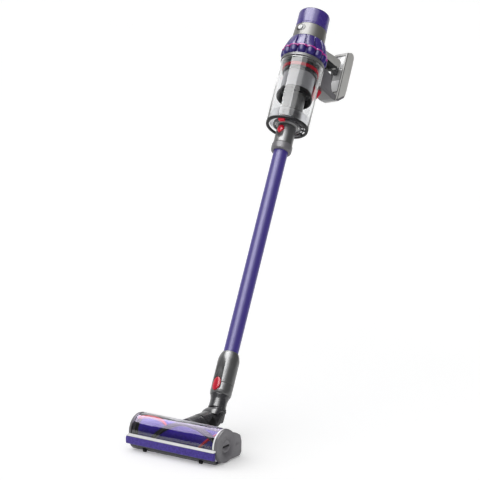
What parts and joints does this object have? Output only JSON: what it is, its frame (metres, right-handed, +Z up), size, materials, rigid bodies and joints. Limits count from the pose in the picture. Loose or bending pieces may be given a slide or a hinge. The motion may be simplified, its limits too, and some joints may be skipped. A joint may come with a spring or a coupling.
{
  "type": "cordless stick vacuum",
  "caption": "Battery stick vacuum: cyclone machine with pistol grip and clear bin on a straight wand, with a swivelling powered floor head.",
  "frame": {"origin": "middle of the pistol grip, where the hand holds the machine", "axes": "+Z up, +X along the floor head to the user's right, +Y from the head's front to its back, towards the user; the head lies flat, the stick leans 39 degrees back and 13 degrees to the side"},
  "size_m": [0.3633, 1.0196, 0.9396],
  "materials": {
    "silver_plastic": "satin silver-grey paint on moulded plastic",
    "purple_metal": "anodised purple, satin",
    "purple_gloss": "metallic purple, polished",
    "deep_purple": "dark purple, polished",
    "pink_trim": "glossy",
    "light_grey_plastic": "fine-textured light grey",
    "dark_grey_plastic": "dark grey, low gloss",
    "black_plastic": "moulded black",
    "black_rubber": "matt",
    "clear_plastic": "clear polycarbonate",
    "red_plastic": "glossy red",
    "white_panel": "smooth light grey-white",
    "perforated_steel": "perforated sheet",
    "steel": "bare metal",
    "copper_contact": "bare metal",
    "board": "coated circuit board",
    "filter_paper": "pleated filter media",
    "velvet": "short nap",
    "black_bristle": "dense bristle",
    "red_filament": "dense nylon filament"
  },
  "bodies": {
    "stick": {"neck_tube": "dark_grey_plastic", "neck_collar": "silver_plastic", "wand_tube": "purple_metal", "wand_lower_connector": "silver_plastic", "wand_upper_connector": "silver_plastic", "bin_rim": "silver_plastic", "shroud_collar": "black_plastic", "shroud_seal": "red_plastic", "shroud_mesh": "perforated_steel", "shroud_skirt": "black_rubber", "inlet_duct": "light_grey_plastic", "cyclone_crown": "purple_gloss", "cyclone_cups": "deep_purple", "crown_trim_ring": "pink_trim", "motor_housing": "silver_plastic", "motor_can": "steel", "control_board": "board", "handle_shell_left": "light_grey_plastic", "handle_shell_right": "light_grey_plastic", "trigger_pin": "steel", "trigger_switch": "black_plastic", "bin_runner": "dark_grey_plastic", "charging_contacts": "copper_contact", "battery_case": "light_grey_plastic", "battery_front_panel": "white_panel", "battery_board": "board", "battery_cell_1": "steel", "battery_cell_2": "steel", "battery_cell_3": "steel", "battery_cell_4": "steel"},
    "filter": {"filter_cap": "purple_gloss", "filter_pleats": "filter_paper"},
    "rotor": {"motor_rotor": "copper_contact"},
    "mode_slider": {"mode_slider": "white_panel"},
    "trigger": {"trigger": "black_plastic"},
    "release_lever": {"bin_release_lever": "red_plastic"},
    "bin": {"clear_bin": "clear_plastic", "bin_base": "clear_plastic", "bin_base_seal": "black_rubber", "bin_base_latch": "red_plastic"},
    "upper_button": {"wand_upper_button": "red_plastic"},
    "lower_button": {"wand_lower_button": "red_plastic"},
    "duct": {"elbow_duct": "dark_grey_plastic", "hose": "black_rubber"},
    "head": {"head_housing": "dark_grey_plastic", "head_window": "clear_plastic", "head_end_cap_right": "dark_grey_plastic", "head_end_cap_left": "dark_grey_plastic", "head_sole_plate": "black_plastic", "head_bumper_strip": "velvet", "head_lip_trim": "light_grey_plastic", "brush_motor": "steel"},
    "roller": {"roller_core": "purple_gloss", "roller_bristle_strip": "black_bristle", "roller_filament_strip": "red_filament"},
    "cap_lock": {"end_cap_lock": "dark_grey_plastic"},
    "rear_wheel_left": {"rear_wheel_left": "black_rubber"},
    "rear_wheel_right": {"rear_wheel_right": "black_rubber"},
    "front_roller_left": {"front_roller_left": "black_rubber"},
    "front_roller_right": {"front_roller_right": "black_rubber"}
  },
  "joints": [
    {"name": "neck_tilt", "type": "hinge", "parent": "stick", "child": "duct", "pos_m": [0.17205, -0.74251, -0.74524], "axis": [0.9744, 0, 0.225], "range_deg": [-39, 45], "deforming": ["hose"]},
    {"name": "neck_twist", "type": "hinge", "parent": "duct", "child": "head", "pos_m": [0.17205, -0.80451, -0.74524], "axis": [0, 1, 0], "range_deg": [-63, 37]},
    {"name": "roller_spin", "type": "hinge", "parent": "head", "child": "roller", "pos_m": [0.17205, -0.87051, -0.75444], "axis": [1, 0, 0], "continuous": true},
    {"name": "cap_lock_turn", "type": "hinge", "parent": "head", "child": "cap_lock", "pos_m": [0.29405, -0.87051, -0.75444], "axis": [1, 0, 0], "range_deg": [0, 90]},
    {"name": "trigger_pull", "type": "hinge", "parent": "stick", "child": "trigger", "pos_m": [0.00294, 0.01128, -0.01273], "axis": [0.9744, 0, 0.225], "range_deg": [-8, 0], "stiffness_Nm_per_rad": 0.6, "springref_deg": 5.73},
    {"name": "release_push", "type": "slide", "parent": "stick", "child": "release_lever", "axis": [0.1743, -0.632, -0.7551], "range_m": [0, 0.01], "stiffness_N_per_m": 300, "springref_m": -0.004},
    {"name": "bin_slide", "type": "slide", "parent": "stick", "child": "bin", "axis": [0.1743, -0.632, -0.7551], "range_m": [0, 0.055]},
    {"name": "upper_button_press", "type": "slide", "parent": "stick", "child": "upper_button", "axis": [0.1422, 0.7749, -0.6158], "range_m": [0, 0.0025], "stiffness_N_per_m": 800, "springref_m": -0.001},
    {"name": "lower_button_press", "type": "slide", "parent": "stick", "child": "lower_button", "axis": [0.1422, 0.7749, -0.6158], "range_m": [0, 0.0025], "stiffness_N_per_m": 800, "springref_m": -0.001},
    {"name": "mode_slide", "type": "slide", "parent": "stick", "child": "mode_slider", "axis": [0.9744, 0, 0.225], "range_m": [-0.006, 0.006]},
    {"name": "filter_twist", "type": "hinge", "parent": "stick", "child": "filter", "pos_m": [-0.02459, -0.02958, 0.10649], "axis": [-0.1743, 0.632, 0.7551], "range_deg": [0, 30]},
    {"name": "rotor_spin", "type": "hinge", "parent": "stick", "child": "rotor", "pos_m": [-0.01413, -0.0675, 0.06119], "axis": [-0.1743, 0.632, 0.7551], "continuous": true},
    {"name": "rear_wheel_left_spin", "type": "hinge", "parent": "head", "child": "rear_wheel_left", "pos_m": [0.10205, -0.81851, -0.78594], "axis": [1, 0, 0], "continuous": true},
    {"name": "rear_wheel_right_spin", "type": "hinge", "parent": "head", "child": "rear_wheel_right", "pos_m": [0.24205, -0.81851, -0.78594], "axis": [1, 0, 0], "continuous": true},
    {"name": "front_roller_left_spin", "type": "hinge", "parent": "head", "child": "front_roller_left", "pos_m": [0.09205, -0.90651, -0.79044], "axis": [1, 0, 0], "continuous": true},
    {"name": "front_roller_right_spin", "type": "hinge", "parent": "head", "child": "front_roller_right", "pos_m": [0.25205, -0.90651, -0.79044], "axis": [1, 0, 0], "continuous": true}
  ]
}
